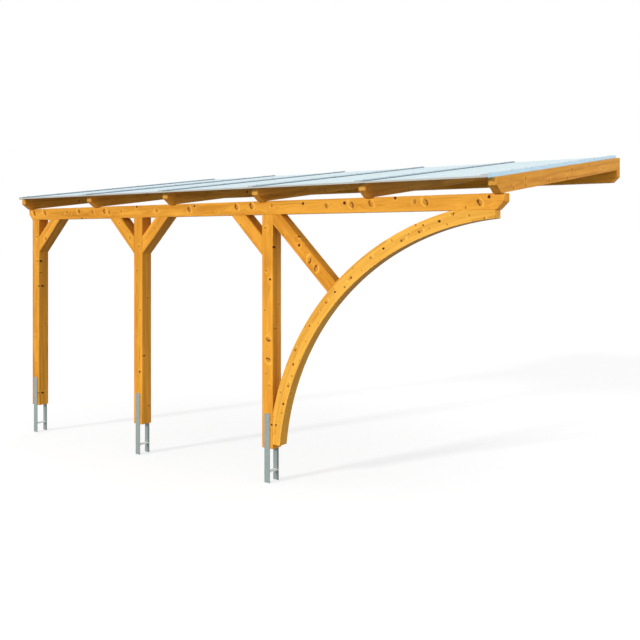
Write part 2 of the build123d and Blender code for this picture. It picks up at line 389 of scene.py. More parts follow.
def knots_net(net, P, knots, pith):
    """The closest of the knots. Each is (along, a, b, radius, kind, flip, slant): where
    it comes out on a face. kind 2 is a dead knot, 0 to 1 a faint to strong sound one;
    flip turns its crescent round and slant lengthens it across the grain, leaning back."""
    uneven = net.noise(net.v("SCALE", P, scale=70.0), detail=2.0, color=True)
    uneven = net.v("MULTIPLY", net.v("SUBTRACT", uneven, (0.5, 0.5, 0.5)), (0.014, 0.008, 0.008))
    Pk = net.v("ADD", P, uneven)
    near = FAR
    for l, a, b, r, kind, *more in knots:
        flip = more[0] if more else 1.0
        slant = more[1] if len(more) > 1 else 0.0
        start = Vector((l - 0.012, pith[1], pith[2]))
        way = Vector((l, a, b)) - start
        if kind == DEAD:
            r *= 1.22
        if slant:
            across = 1 if abs(abs(b) - max(abs(a), abs(b))) < 1e-6 else 2
            start[0] += 0.95 * slant * way.length
            start[across] = (a, b)[across - 1] - slant * way.length
            way = Vector((l, a, b)) - start
        near = net.group(
            KNOT, P=Pk, Start=tuple(start), Way=tuple(way.normalized()), Radius=r, Reach=way.length,
            Flip=flip, Kind=kind, Miss=0.0, So_far=near,
        )["Near"]
    return near


def crack_net(net, P, cracks):
    """Fine drying checks. Each is (along, half length, a, b, axis, width): a line on the
    face at the far end of the named axis."""
    total = None
    x, y, z = net.sep(P)
    wave = net.m("MULTIPLY", net.m("SUBTRACT", net.noise(net.v("MULTIPLY", P, (14.0, 3.0, 3.0)), detail=3.0), 0.5), 0.010)
    for l, half, side, face, axis, width in cracks:
        across = y if axis == "b" else z
        depth = z if axis == "b" else y
        t = net.m("DIVIDE", net.m("SUBTRACT", x, l), half)
        taper = net.m("SUBTRACT", 1.0, net.m("MULTIPLY", t, t), clamp=True)
        d = net.m("ABSOLUTE", net.m("SUBTRACT", net.m("ADD", across, wave), side))
        d = net.m("DIVIDE", d, net.m("MULTIPLY_ADD", taper, width, 0.00001))
        mask = net.span(d, 0.55, 1.1, 1.0, 0.0)
        mask = net.m("MULTIPLY", mask, net.m("GREATER_THAN", taper, 0.01))
        mask = net.m("MULTIPLY", mask, net.m("LESS_THAN", net.m("ABSOLUTE", net.m("SUBTRACT", depth, face)), 0.012))
        total = mask if total is None else net.m("MAXIMUM", total, mask)
    return total


LIGHT = (0.880, 0.400, 0.044)
DARK = (0.540, 0.190, 0.009)


def timber(name, origin, L, A, knots, pith, seed, tint=(1.0, 1.0, 1.0), ring=0.0042, cracks=(), ends=(0.92, 0.90, 0.95)):
    """Material of a straight piece: L is its grain, A its first cross direction."""
    L, A = Vector(L).normalized(), Vector(A).normalized()
    B = L.cross(A)
    if B.y < -0.5 or (abs(B.y) < 0.5 and B.x < -0.5):
        B = -B
    m, net, bsdf = material(name)
    coord = net.node("ShaderNodeTexCoord").outputs["Object"]
    rel = net.v("SUBTRACT", coord, tuple(origin))
    P = net.comb(*(net.v("DOT_PRODUCT", rel, tuple(axis)) for axis in (L, A, B)))
    near = knots_net(net, P, knots, pith)
    cr = crack_net(net, P, cracks) if cracks else None
    wood_finish(net, bsdf, P, tuple(L), near, seed, pith, ring, LIGHT, DARK, tint, cracks=cr, ends=ends)
    return m


def hidden_knots(rng, l0, l1, half_a, half_b, faces, gap=0.42):
    """Knots in whorls on the named faces, for sides that the photograph doesn't show."""
    found = []
    l = l0 + rng.uniform(0.08, gap)
    while l < l1 - 0.04:
        for _ in range(rng.choice((1, 1, 2))):
            face = rng.choice(faces)
            u = rng.uniform(-0.75, 0.75)
            a, b = {
                "a+": (half_a, u * half_b),
                "a-": (-half_a, u * half_b),
                "b+": (u * half_a, half_b),
                "b-": (u * half_a, -half_b),
            }[face]
            kind = rng.choice((DEAD, 0.25, 0.5, 0.75))
            found.append((l + rng.uniform(-0.03, 0.03), a, b, rng.uniform(0.005, 0.011), kind, rng.choice((-1.0, 1.0))))
        l += rng.uniform(0.6, 1.3) * gap
    return found


def dress(node, mat, arris, seg=2):
    """A better material on a CAD node, and its arrises taken off."""
    ob = NODES[node]
    ob.data.materials.clear()
    ob.data.materials.append(mat)
    weld = ob.modifiers.new("weld", "WELD")
    weld.merge_threshold = 0.00002
    flat = ob.modifiers.new("flat", "DECIMATE")
    flat.decimate_type = "DISSOLVE"
    flat.angle_limit = math.radians(0.6)
    bev = ob.modifiers.new("arris", "BEVEL")
    bev.width = arris
    bev.segments = seg
    bev.limit_method = "ANGLE"
    bev.angle_limit = math.radians(25)
    bev.use_clamp_overlap = True
    bev.harden_normals = False
    return ob


ARRIS = 0.0028
F = -0.06  # local depth of a post's front face

# ---- posts ----------------------------------------------------------------
posts = {
    "post_left": dict(
        knots=[
            (1.850, 0.018, F, 0.009, 0.6, -1), (1.586, 0.023, F, 0.0070, DEAD), (1.311, 0.050, F, 0.0075, DEAD),
            (0.139, 0.048, F, 0.0070, DEAD), (0.760, -0.020, F, 0.008, 0.3), (0.450, 0.010, F, 0.006, 0.3, -1),
            (1.586, 0.06, -0.038, 0.0075, DEAD), (1.462, 0.06, -0.042, 0.006, 0.8), (1.312, 0.06, -0.014, 0.0075, DEAD),
            (0.132, 0.06, -0.012, 0.0080, DEAD), (0.900, 0.06, 0.020, 0.007, 0.3), (1.120, 0.010, F, 0.007, 0.35),
        ],
        pith=(0.0, 0.012, 0.052), seed=3.1, tint=(0.955, 0.955, 0.95),
        cracks=[(0.95, 0.24, 0.010, F, "b", 0.0011)],
    ),
    "post_middle": dict(
        knots=[
            (0.519, 0.023, F, 0.0085, DEAD), (1.520, -0.015, F, 0.008, 0.35), (1.120, 0.030, F, 0.007, 0.35, -1),
            (1.760, 0.010, F, 0.009, 0.3), (0.880, -0.022, F, 0.006, 0.3),
            (0.670, 0.06, -0.029, 0.009, 0.9, -1), (1.250, 0.06, 0.012, 0.007, 0.35), (0.180, 0.06, 0.030, 0.007, 0.5),
        ],
        pith=(0.0, -0.008, 0.060), seed=8.7, tint=(0.985, 0.970, 0.95),
        cracks=[(0.688, 0.085, 0.023, F, "b", 0.0024), (1.40, 0.20, -0.018, F, "b", 0.0010)],
    ),
    "post_right": dict(
        knots=[
            (1.546, -0.012, F, 0.0080, 0.8, -1), (1.477, 0.030, F, 0.0080, DEAD, 1.0), (0.958, 0.006, F, 0.0155, 0.90, 1, 0.6),
            (0.773, 0.006, F, 0.0155, 0.90, -1, 0.6), (0.555, 0.022, F, 0.008, 0.45), (0.212, 0.048, F, 0.0075, DEAD),
            (1.930, -0.020, F, 0.008, 0.4), (1.200, -0.030, F, 0.006, 0.4, -1), (0.660, -0.015, F, 0.006, 0.5),
            (1.757, 0.06, -0.042, 0.0075, DEAD), (1.260, 0.06, 0.022, 0.006, 0.4), (1.050, 0.06, -0.018, 0.007, 0.4),
        ],
        pith=(0.0, 0.020, 0.050), seed=14.3, tint=(1.03, 1.025, 1.0),
        cracks=[(1.12, 0.16, -0.022, F, "b", 0.0010)],
    ),
}
for name, spec in posts.items():
    rng = random.Random(name)
    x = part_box(name)[0].x + POST / 2
    spec["knots"] += hidden_knots(rng, 0.0, POST_H, POST / 2, POST / 2, ("a-", "b+"), 0.45)
    mat = timber("timber_" + name, (x, FRONT + POST / 2, BASE_Z), (0, 0, 1), (1, 0, 0), **spec)
    dress(name, mat, ARRIS)

# ---- front beam: grain along X, a is height, front face b = -0.05 -----------
BF = -0.050
beam_knots = [
    (-2.687, 0.010, BF, 0.0155, 1.0, -1, 0.9), (-2.501, 0.012, BF, 0.0145, 0.95, -1, 0.9), (-1.931, 0.018, BF, 0.0140, 1.0, -1, 0.5),
    (-1.698, 0.002, BF, 0.012, 0.45, 1, 0.8), (-1.517, 0.010, BF, 0.0150, 1.0, 1, 0.5), (-1.454, -0.004, BF, 0.012, 0.45, -1, 0.8),
    (-1.264, 0.009, BF, 0.009, 0.5, 1), (-1.046, 0.048, BF, 0.0085, DEAD, -1), (-0.768, 0.004, BF, 0.010, 0.5, -1, 0.8),
    (-0.326, 0.004, BF, 0.0145, 0.85, 1, 0.8), (-0.263, 0.034, BF, 0.0070, DEAD, 1), (0.256, 0.012, BF, 0.0155, 1.0, 1, 0.7),
    (0.429, 0.018, BF, 0.0155, 1.0, 1, 0.7), (0.649, 0.019, BF, 0.010, 0.55, -1), (0.990, 0.027, BF, 0.0085, DEAD, 1),
    (1.234, 0.001, BF, 0.013, 0.65, 1, 0.4), (1.406, 0.020, BF, 0.0095, DEAD, -1), (1.475, 0.000, BF, 0.0145, 0.95, -1, 0.8),
    (1.661, 0.006, BF, 0.014, 0.60, 1, 0.8), (1.880, 0.047, BF, 0.0075, DEAD, 1), (2.045, 0.014, BF, 0.012, 0.45, -1),
    (2.145, 0.004, BF, 0.0145, 0.90, -1, 0.8), (2.480, -0.040, BF, 0.006, 0.8), (2.589, -0.008, BF, 0.0130, 1.0, 1, 0.9),
    (2.660, 0.034, BF, 0.0090, DEAD, -1), (-2.250, -0.030, BF, 0.006, 0.4), (0.020, -0.020, BF, 0.006, 0.35),
    (-0.560, 0.030, BF, 0.006, 0.4, -1), (-2.060, 0.000, BF, 0.009, 0.35),
]
beam_knots += hidden_knots(random.Random("beam"), -2.7, 2.7, 0.06, 0.05, ("a-", "b+"), 0.55)
mat = timber(
    "timber_front_beam", (0, FRONT + BEAM_T / 2, BASE_Z + POST_H + 0.060), (1, 0, 0), (0, 0, 1),
    beam_knots, (0.0, -0.012, 0.062), 21.9, (1.0, 1.0, 1.0),
    cracks=[(0.95, 0.22, 0.030, BF, "b", 0.0010), (-2.1, 0.25, -0.018, BF, "b", 0.0010), (2.33, 0.14, 0.036, BF, "b", 0.0009)],
)
dress("front_beam", mat, ARRIS)

# ---- wall purlin ------------------------------------------------------------
mat = timber(
    "timber_wall_purlin", (0, -PURLIN_T / 2, 0), (1, 0, 0), (0, 0, 1),
    hidden_knots(random.Random("purlin"), -2.7, 2.7, 0.06, 0.05, ("a-", "b-", "b-", "a+"), 0.36),
    (0.0, 0.014, 0.070), 33.4, (1.0, 0.985, 0.96),
    cracks=[(0.4, 0.35, 0.010, -0.05, "b", 0.0011)],
)
dress("wall_purlin", mat, ARRIS)

# ---- rafters: grain up the slope, a square to it, b along X -----------------
RAFTER_MATS = []
for i, x in enumerate(RAFTER_X, 1):
    rng = random.Random(f"rafter {i}")
    side = 0.0325
    knots = hidden_knots(rng, -3.0, 0.0, 0.06, side, ("b-", "b+", "a-"), 0.40)
    if i == 6:
        knots = [
            (-2.78, -0.035, side, 0.008, 0.9, 1), (-2.55, 0.010, side, 0.010, 0.35, -1), (-2.02, -0.030, side, 0.009, 0.45),
            (-1.48, 0.012, side, 0.012, 0.30, -1), (-0.98, 0.030, side, 0.008, 0.40), (-0.55, -0.016, side, 0.009, 0.35),
            (-0.20, 0.010, side, 0.010, 0.40, -1),
        ] + hidden_knots(rng, -3.0, 0.0, 0.06, side, ("b-", "a-"), 0.5)
    tone = 0.905 if i == 6 else 1.0 + rng.uniform(-0.05, 0.04)
    mat = timber(
        f"timber_rafter_{i}", (x, 0, BASE_Z + top(0) - PLUMB / 2), (0, COSP, SINP), (0, -SINP, COSP),
        knots, (0.0, rng.uniform(-0.02, 0.02), rng.choice((-1, 1)) * rng.uniform(0.05, 0.075)), 40.0 + 3.7 * i,
        (tone, tone * 0.98, tone * (0.85 if i == 6 else 0.97)), ring=0.0038, ends=(0.95, 1.08, 1.95),
    )
    RAFTER_MATS.append(mat)
    dress(f"rafter_{i}", mat, 0.0022)

# ---- knee braces ------------------------------------------------------------
brace_seen = {
    1: [(-2.475, 1.838, 0.011, 0.6, 1, 0.5)],
    2: [(-1.137, 1.832, 0.009, 0.45, -1), (-1.30, 1.99, 0.006, 0.4)],
    3: [(-0.79, 1.94, 0.007, 0.4)],
    4: [(0.296, 1.958, 0.006, 0.7, 1), (0.43, 1.80, 0.007, 0.35)],
}
corner = {1: (POST_X[0] + POST, 1), 2: (POST_X[1], -1), 3: (POST_X[1] + POST, 1), 4: (POST_X[2], -1)}
for i, (cx, s) in corner.items():
    L = Vector((s, 0, 1)).normalized()
    A = Vector((s, 0, -1)).normalized()  # down and away from the post
    O = Vector((cx + s * 0.135, FRONT + 0.06, BASE_Z + POST_H - 0.135))
    knots = []
    for X, h, *rest in brace_seen[i]:
        rel = Vector((X, FRONT, h + BASE_Z)) - O
        knots.append((rel.dot(L), rel.dot(A), -0.06, *rest))
    rng = random.Random(f"brace {i}")
    knots += hidden_knots(rng, -0.2, 0.2, 0.06, 0.06, ("b+",), 0.22)
    tint = (1.0 + rng.uniform(-0.03, 0.03),) * 3
    mat = timber(f"timber_knee_brace_{i}", O, L, A, knots, (0.0, rng.uniform(-0.02, 0.02), 0.055), 60.0 + 4.3 * i, tint)
    dress(f"knee_brace_{i}", mat, ARRIS)

# ---- strut to the arch --------------------------------------------------------
ang = math.atan2(POST_H - ARCH_Z, 2.235)
L = Vector((math.cos(ang), 0, -math.sin(ang)))
A = Vector((math.sin(ang), 0, math.cos(ang)))
O = Vector((0.665, FRONT + 0.05, BASE_Z + POST_H))
knots = []
for X, h, *rest in (
    (0.949, 1.775, 0.0095, DEAD, 1), (1.053, 1.647, 0.0145, 0.85, -1, 0.8), (1.124, 1.577, 0.0145, 0.85, 1, 0.8), (0.78, 1.86, 0.008, 0.4),
):
    rel = Vector((X, FRONT, h + BASE_Z)) - O
    knots.append((rel.dot(L), rel.dot(A), -0.05, *rest))
knots.append((0.335, 0.06, -0.038, 0.010, 0.9, 1))
knots += hidden_knots(random.Random("strut"), 0.0, 0.8, 0.06, 0.05, ("a-", "b+"), 0.3)
mat = timber("timber_arch_strut", O, L, A, knots, (0.0, 0.010, 0.060), 83.0, (0.99, 0.955, 0.92))
dress("arch_strut", mat, ARRIS)

# ---- laminated arch -------------------------------------------------------------
LAYER = 0.020
m, net, bsdf = material("timber_laminated_arch")
coord = net.node("ShaderNodeTexCoord").outputs["Object"]
cx_, cy_, cz_ = net.sep(net.v("SUBTRACT", coord, (ARCH_X, FRONT + ARCH_T / 2, ARCH_Z + BASE_Z)))
dx = net.m("MULTIPLY", cx_, -1.0)
phi = net.m("ARCTAN2", cz_, dx)
rad = net.v("LENGTH", net.comb(dx, 0.0, cz_))
along = net.m("MULTIPLY", phi, 2.23)
across = net.m("SUBTRACT", rad, 2.23)
P = net.comb(along, across, cy_)
lam = net.m("DIVIDE", net.m("ADD", across, 0.0601), LAYER)
k = net.m("MINIMUM", net.m("MAXIMUM", net.m("FLOOR", lam), 0.0), 5.0)
inlam = net.m("SUBTRACT", lam, k)
wn = net.node("ShaderNodeTexWhiteNoise", noise_dimensions="1D")
net.put(wn.inputs["W"], net.m("ADD", k, 0.5))
run = net.m("ADD", net.m("DIVIDE", along, 1.45), net.m("MULTIPLY", wn.outputs["Value"], 9.0))
seg = net.m("FLOOR", run)
wn2 = net.node("ShaderNodeTexWhiteNoise", noise_dimensions="2D")
net.put(wn2.inputs["Vector"], net.comb(net.m("ADD", k, 0.5), net.m("ADD", seg, 0.5)))
r1, r2, r3 = net.sep(wn2.outputs["Color"])
board = net.comb(
    net.m("MULTIPLY_ADD", r3, 17.0, along),
    net.m("ADD", net.m("MULTIPLY", net.m("SUBTRACT", inlam, 0.5), LAYER), net.m("MULTIPLY_ADD", r1, 0.09, -0.045)),
    net.m("ADD", cy_, net.m("MULTIPLY_ADD", r2, 0.12, -0.06)),
)
AF = -0.05
arch_seen = [
    (44.8, 0.005, 0.0080, DEAD, 1), (49.5, -0.012, 0.0175, 1.0, -1, 0.5), (47.5, -0.026, 0.008, 0.9, 1, 0.6), (41.8, 0.010, 0.0130, 0.9, 1, 0.5),
    (39.3, 0.0, 0.008, 0.5, -1), (59.8, 0.011, 0.0078, DEAD, -1), (56.4, 0.012, 0.0110, 0.85, 1, 0.4), (64.6, -0.012, 0.0180, 1.0, 1, 0.6),
    (68.5, 0.049, 0.007, 0.8, 1), (68.9, -0.011, 0.0160, 1.0, 1, 0.6), (69.9, 0.023, 0.0060, DEAD, 1), (71.0, -0.018, 0.0065, 0.8, 1),
    (73.4, 0.008, 0.0085, DEAD, 1), (76.4, 0.033, 0.0120, 0.9, -1, 0.3), (82.8, -0.046, 0.008, 0.8, 1, 0.4), (34.8, 0.017, 0.0070, DEAD, 1),
    (28.4, 0.029, 0.0130, 0.9, 1, 0.4), (25.1, -0.004, 0.0080, DEAD, 1), (22.4, -0.033, 0.008, 0.6, -1), (20.3, -0.029, 0.0160, 1.0, 1, 0.5),
    (15.6, -0.027, 0.0085, DEAD, -1), (10.3, 0.003, 0.0080, DEAD, 1), (13.3, -0.028, 0.007, 0.6, -1), (31.5, -0.020, 0.007, 0.5, 1),
    (53.0, -0.020, 0.007, 0.45, 1), (62.2, 0.030, 0.007, 0.6, -1), (17.9, 0.030, 0.007, 0.55, 1), (79.6, -0.005, 0.009, 0.45, -1),
    (36.9, -0.040, 0.006, 0.5, 1), (51.4, 0.038, 0.006, 0.5, -1), (66.4, 0.010, 0.006, 0.5, 1), (57.9, -0.040, 0.006, 0.45, -1),
    (74.9, -0.032, 0.006, 0.5, 1), (26.9, -0.045, 0.006, 0.5, 1), (12.0, 0.040, 0.006, 0.5, 1),
]
uneven = net.noise(net.v("SCALE", P, scale=70.0), detail=2.0, color=True)
uneven = net.v("SCALE", net.v("SUBTRACT", uneven, (0.5, 0.5, 0.5)), scale=0.005)
Pk = net.v("ADD", P, net.v("MULTIPLY", uneven, (1.0, 0.3, 1.0)))
# 60 in every layer but one, so that a knot stays in its own board
others = [net.m("MULTIPLY", net.m("GREATER_THAN", net.m("ABSOLUTE", net.m("SUBTRACT", k, float(j))), 0.5), 60.0) for j in range(6)]
near = FAR
rng = random.Random("arch")
spots = [(math.radians(d) * 2.23, a, AF, *rest) for d, a, *rest in arch_seen]
for _ in range(12):  # rear face
    spots.append((math.radians(rng.uniform(8, 86)) * 2.23, rng.uniform(-0.05, 0.05), 0.05, rng.uniform(0.006, 0.0095), rng.choice((DEAD, 0.5, 0.8)), 1))
for d, b in ((18.5, -0.02), (33.0, 0.01), (51.0, -0.01), (66.0, 0.02), (78.0, 0.0)):  # inner curve
    spots.append((math.radians(d) * 2.23, -0.0599, b, 0.008, 0.5, 1))
for d, b in ((24.0, 0.01), (43.0, -0.02), (58.0, 0.02), (71.0, 0.0)):  # outer curve
    spots.append((math.radians(d) * 2.23, 0.0599, b, 0.008, 0.5, -1))
for l, a, b, r, kind, flip, *more in spots:
    if abs(a) > 0.055 and abs(b) < 0.045:
        way, reach = Vector((0.05, math.copysign(1.0, a), 0.0)).normalized(), LAYER
    else:
        way, reach = Vector((0.10, more[0] if more else 0.0, math.copysign(1.0, b))).normalized(), 0.045
    start = Vector((l, a, b)) - way * reach
    if kind == DEAD:
        r *= 1.22
    near = net.group(
        KNOT, P=Pk, Start=tuple(start), Way=tuple(way), Radius=r, Reach=reach, Flip=flip, Kind=kind,
        Miss=others[min(5, max(0, math.floor((a + 0.06) / LAYER)))], So_far=near,
    )["Near"]
glue = net.span(net.m("ABSOLUTE", net.m("SUBTRACT", inlam, 0.5)), 0.470, 0.495)
jd = net.m("SUBTRACT", run, seg)
jd = net.m("MINIMUM", jd, net.m("SUBTRACT", 1.0, jd))
butt = net.span(jd, 0.0005, 0.0011, 1.0, 0.0)
lines = net.m("MAXIMUM", net.m("MULTIPLY", glue, 0.75), butt)
shift = net.m("MULTIPLY_ADD", r3, 0.34, -0.17)
shift = net.m("ADD", shift, net.span(phi, 1.05, 1.50, 0.0, 0.22))
# the grain runs round the arch: its end cuts are found from the tangent
tangent = net.comb(net.m("DIVIDE", cz_, rad), 0.0, net.m("DIVIDE", dx, rad))
wood_finish(
    net, bsdf, board, tangent, near, 5.5, (0.0, 0.045, 0.0), 0.0046,
    (0.930, 0.480, 0.068), (0.640, 0.270, 0.026), (1.0, 1.0, 1.0), extra_tone=shift, lines=lines,
)
ARCH_MAT = m


def build(name, verts, faces, mats=(), smooth=False, uses=None):
    """A mesh piece from points in the row frame. uses gives each face's material."""
    me = bpy.data.meshes.new(name)
    me.from_pydata([tuple(v) for v in verts], [], faces)
    for mt in mats:
        me.materials.append(mt)
    if uses:
        me.polygons.foreach_set("material_index", uses)
    if smooth:
        me.polygons.foreach_set("use_smooth", [True] * len(me.polygons))
    me.update()
    ob = bpy.data.objects.new(name, me)
    scene.collection.objects.link(ob)
    return ob


def outward(ob):
    bm = bmesh.new()
    bm.from_mesh(ob.data)
    bmesh.ops.recalc_face_normals(bm, faces=bm.faces)
    bm.to_mesh(ob.data)
    bm.free()
    return ob


# the arch as one fine swept body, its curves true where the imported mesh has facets
post_face, end_x = 0.665, RIGHT - 0.069


def arc_points(radius, a0, a1, count):
    return [
        (ARCH_X - radius * math.cos(t), ARCH_Z + radius * math.sin(t))
        for t in (a0 + (a1 - a0) * i / count for i in range(count + 1))
    ]


t0 = math.acos((ARCH_X - post_face) / ARCH_RO)  # outer curve leaves the post
t1 = math.asin((POST_H - ARCH_Z) / ARCH_RO)  # outer curve meets the beam
s0 = math.asin((0.040 - ARCH_Z) / ARCH_RI)  # foot cut on the inner curve
s1 = math.acos((ARCH_X - end_x) / ARCH_RI)  # end cut on the inner curve
outline = arc_points(ARCH_RO, t0, t1, 120)
outline.append((end_x, POST_H))
outline += arc_points(ARCH_RI, s1, s0, 132)
outline.append((post_face, 0.040))
n = len(outline)
verts = [(x, FRONT, z + BASE_Z) for x, z in outline] + [(x, FRONT + ARCH_T, z + BASE_Z) for x, z in outline]
faces = [tuple(range(n)), tuple(range(2 * n - 1, n - 1, -1))]
faces += [(i, i + n, (i + 1) % n + n, (i + 1) % n) for i in range(n)]
arch = outward(build("laminated_arch", verts, faces, (ARCH_MAT,)))
bm = bmesh.new()
bm.from_mesh(arch.data)
sharp = [e for e in bm.edges if len(e.link_faces) == 2 and e.calc_face_angle() > math.radians(25)]
bmesh.ops.bevel(bm, geom=sharp, offset=ARRIS, segments=2, profile=0.5, affect="EDGES", clamp_overlap=True)
for f in bm.faces:
    f.smooth = True
bm.to_mesh(arch.data)
bm.free()
arch.data.set_sharp_from_angle(angle=math.radians(20))
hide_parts("entry_arch")
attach(arch, "root")

# ---- tapered packers between the rafters' undersides and the level purlin ------------
for i, x in enumerate(RAFTER_X, 1):
    y0 = -PURLIN_T + 0.0165
    x0, x1 = x - RAFTER_W / 2 + 0.0004, x + RAFTER_W / 2 - 0.0004
    verts = [(x0, y0, 0.060), (x1, y0, 0.060), (x1, -0.0002, 0.060), (x0, -0.0002, 0.060)]
    verts += [(vx, vy, max(vz + 0.0001, under(vy) + BASE_Z + 0.0002)) for vx, vy, vz in verts]
    faces = [(0, 3, 2, 1), (4, 5, 6, 7), (0, 1, 5, 4), (1, 2, 6, 5), (2, 3, 7, 6), (3, 0, 4, 7)]
    ob = outward(build(f"purlin_packer_{i}", verts, faces, (RAFTER_MATS[i - 1],)))
    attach(ob, "root")

# ---- galvanised steel ---------------------------------------------------------------
m, net, bsdf = material("galvanised_steel")
coord = net.node("ShaderNodeTexCoord").outputs["Object"]
cell = net.node("ShaderNodeTexVoronoi", feature="F1")
net.put(cell.inputs["Vector"], net.v("ADD", coord, net.v("SCALE", net.noise(coord, scale=60.0, color=True), scale=0.008)))
cell.inputs["Scale"].default_value = 85.0
spangle = net.sep(cell.outputs["Color"])[0]
cloud = net.noise(coord, scale=9.0, detail=4.0, rough=0.6)
col = net.mix(net.m("MULTIPLY_ADD", spangle, 0.55, net.m("MULTIPLY", cloud, 0.45)), (0.222, 0.272, 0.258), (0.302, 0.350, 0.330))
white = net.span(net.noise(coord, scale=26.0, detail=5.0, rough=0.7), 0.60, 0.78)
col = net.mix(net.m("MULTIPLY", white, 0.25), col, (0.40, 0.44, 0.42))
# painted light: the crosspiece is painted near-white and less metallic, standing in for the light on its upward top
depth_ = net.m("ABSOLUTE", net.m("SUBTRACT", net.v("DOT_PRODUCT", coord, (0.0, 1.0, 0.0)), FRONT + POST / 2))
height_ = net.m("ABSOLUTE", net.m("SUBTRACT", net.v("DOT_PRODUCT", coord, (0.0, 0.0, 1.0)), BASE_Z - 0.2055))
crosspiece_painted_light = net.m("MULTIPLY", net.m("LESS_THAN", height_, 0.0036), net.m("LESS_THAN", depth_, POST / 2 - 0.0002))
col = net.mix(net.m("MULTIPLY", crosspiece_painted_light, 0.96), col, (0.97, 0.985, 0.985))
net.put(bsdf.inputs["Base Color"], col)
net.put(bsdf.inputs["Metallic"], net.m("MULTIPLY_ADD", crosspiece_painted_light, -0.30, 0.30))
net.put(bsdf.inputs["Roughness"], net.m("MULTIPLY_ADD", spangle, 0.16, 0.46))
bump = net.node("ShaderNodeBump")
bump.inputs["Strength"].default_value = 0.25
bump.inputs["Distance"].default_value = 0.0004
net.put(bump.inputs["Height"], net.m("ADD", net.m("MULTIPLY", spangle, 0.4), net.noise(coord, scale=420.0, detail=2.0)))
net.put(bsdf.inputs["Normal"], bump.outputs["Normal"])
GALV = m

m, net, bsdf = material("zinc_fixings")
coord = net.node("ShaderNodeTexCoord").outputs["Object"]
cloud = net.noise(coord, scale=180.0, detail=3.0)
net.put(bsdf.inputs["Base Color"], net.mix(cloud, (0.20, 0.19, 0.16), (0.30, 0.28, 0.24)))
bsdf.inputs["Metallic"].default_value = 0.5
net.put(bsdf.inputs["Roughness"], net.m("MULTIPLY_ADD", cloud, 0.2, 0.45))
ZINC = m

m, net, bsdf = material("brassed_screws")
coord = net.node("ShaderNodeTexCoord").outputs["Object"]
cloud = net.noise(coord, scale=180.0, detail=3.0)
net.put(bsdf.inputs["Base Color"], net.mix(cloud, (0.36, 0.18, 0.045), (0.46, 0.25, 0.075)))
bsdf.inputs["Metallic"].default_value = 0.2
net.put(bsdf.inputs["Roughness"], net.m("MULTIPLY_ADD", cloud, 0.2, 0.50))
BRASSED = m

# painted shade: a flat near-black disc stands for each screw's drive socket, in place of its depth
m, net, bsdf = material("screw_socket_painted_shade")
coord = net.node("ShaderNodeTexCoord").outputs["Object"]
net.put(bsdf.inputs["Base Color"], net.mix(net.noise(coord, scale=300.0), (0.030, 0.022, 0.015), (0.060, 0.042, 0.026)))
bsdf.inputs["Roughness"].default_value = 0.7
PAINTED_SOCKET_SHADE = m


# ---- aluminium ------------------------------------------------------------------------
def aluminium(name, dark, light, metallic):
    m, net, bsdf = material(name)
    coord = net.node("ShaderNodeTexCoord").outputs["Object"]
    draw = net.noise(net.v("MULTIPLY", coord, (900.0, 5.0, 900.0)), detail=2.0)
    cloud = net.noise(coord, scale=3.0, detail=3.0)
    col = net.mix(net.m("MULTIPLY_ADD", draw, 0.5, net.m("MULTIPLY", cloud, 0.5)), dark, light)
    net.put(bsdf.inputs["Base Color"], col)
    bsdf.inputs["Metallic"].default_value = metallic
    net.put(bsdf.inputs["Roughness"], net.m("MULTIPLY_ADD", draw, 0.14, 0.34))
    bump = net.node("ShaderNodeBump")
    bump.inputs["Strength"].default_value = 0.15
    bump.inputs["Distance"].default_value = 0.0002
    net.put(bump.inputs["Height"], draw)
    net.put(bsdf.inputs["Normal"], bump.outputs["Normal"])
    return m


# satin aluminium grey with a bluish tint; the tint is painted reflection of the blue sheets
ALU = aluminium("satin_aluminium", (0.40, 0.50, 0.58), (0.50, 0.60, 0.68), 0.55)
TRIM = aluminium("trim_aluminium", (0.400, 0.405, 0.370), (0.500, 0.505, 0.465), 0.25)

m, net, bsdf = material("gasket_rubber")
coord = net.node("ShaderNodeTexCoord").outputs["Object"]
net.put(bsdf.inputs["Base Color"], net.mix(net.noise(coord, scale=120.0, detail=3.0), (0.055, 0.070, 0.084), (0.095, 0.115, 0.132)))
bsdf.inputs["Roughness"].default_value = 0.6
bsdf.inputs["Specular IOR Level"].default_value = 0.2
GASKET = m

# ---- twin-wall sheet --------------------------------------------------------------------
m, net, bsdf = material("twin_wall_sheet")
coord = net.node("ShaderNodeTexCoord").outputs["Object"]
haze = net.noise(net.v("MULTIPLY", coord, (6.0, 0.6, 6.0)), detail=2.0)
net.put(bsdf.inputs["Base Color"], net.mix(haze, (0.68, 0.910, 0.987), (0.73, 0.942, 0.994)))
net.put(bsdf.inputs["Roughness"], net.m("MULTIPLY_ADD", haze, 0.04, 0.25))
bsdf.inputs["Alpha"].default_value = 0.82
bsdf.inputs["Specular IOR Level"].default_value = 0.45
SHEET = m

m, net, bsdf = material("sheet_rib")
coord = net.node("ShaderNodeTexCoord").outputs["Object"]
haze = net.noise(net.v("MULTIPLY", coord, (18.0, 1.5, 18.0)), detail=2.0)
net.put(bsdf.inputs["Base Color"], net.mix(haze, (0.62, 0.84, 0.95), (0.72, 0.91, 0.98)))
bsdf.inputs["Roughness"].default_value = 0.25
bsdf.inputs["Alpha"].default_value = 0.45
RIB = m

m, net, bsdf = material("edge_closure")
coord = net.node("ShaderNodeTexCoord").outputs["Object"]
haze = net.noise(net.v("MULTIPLY", coord, (18.0, 2.5, 40.0)), detail=3.0)
net.put(bsdf.inputs["Base Color"], net.mix(haze, (0.38, 0.66, 0.88), (0.46, 0.73, 0.93)))
net.put(bsdf.inputs["Roughness"], net.m("MULTIPLY_ADD", haze, 0.12, 0.20))
bsdf.inputs["Specular IOR Level"].default_value = 0.3
EDGE = m


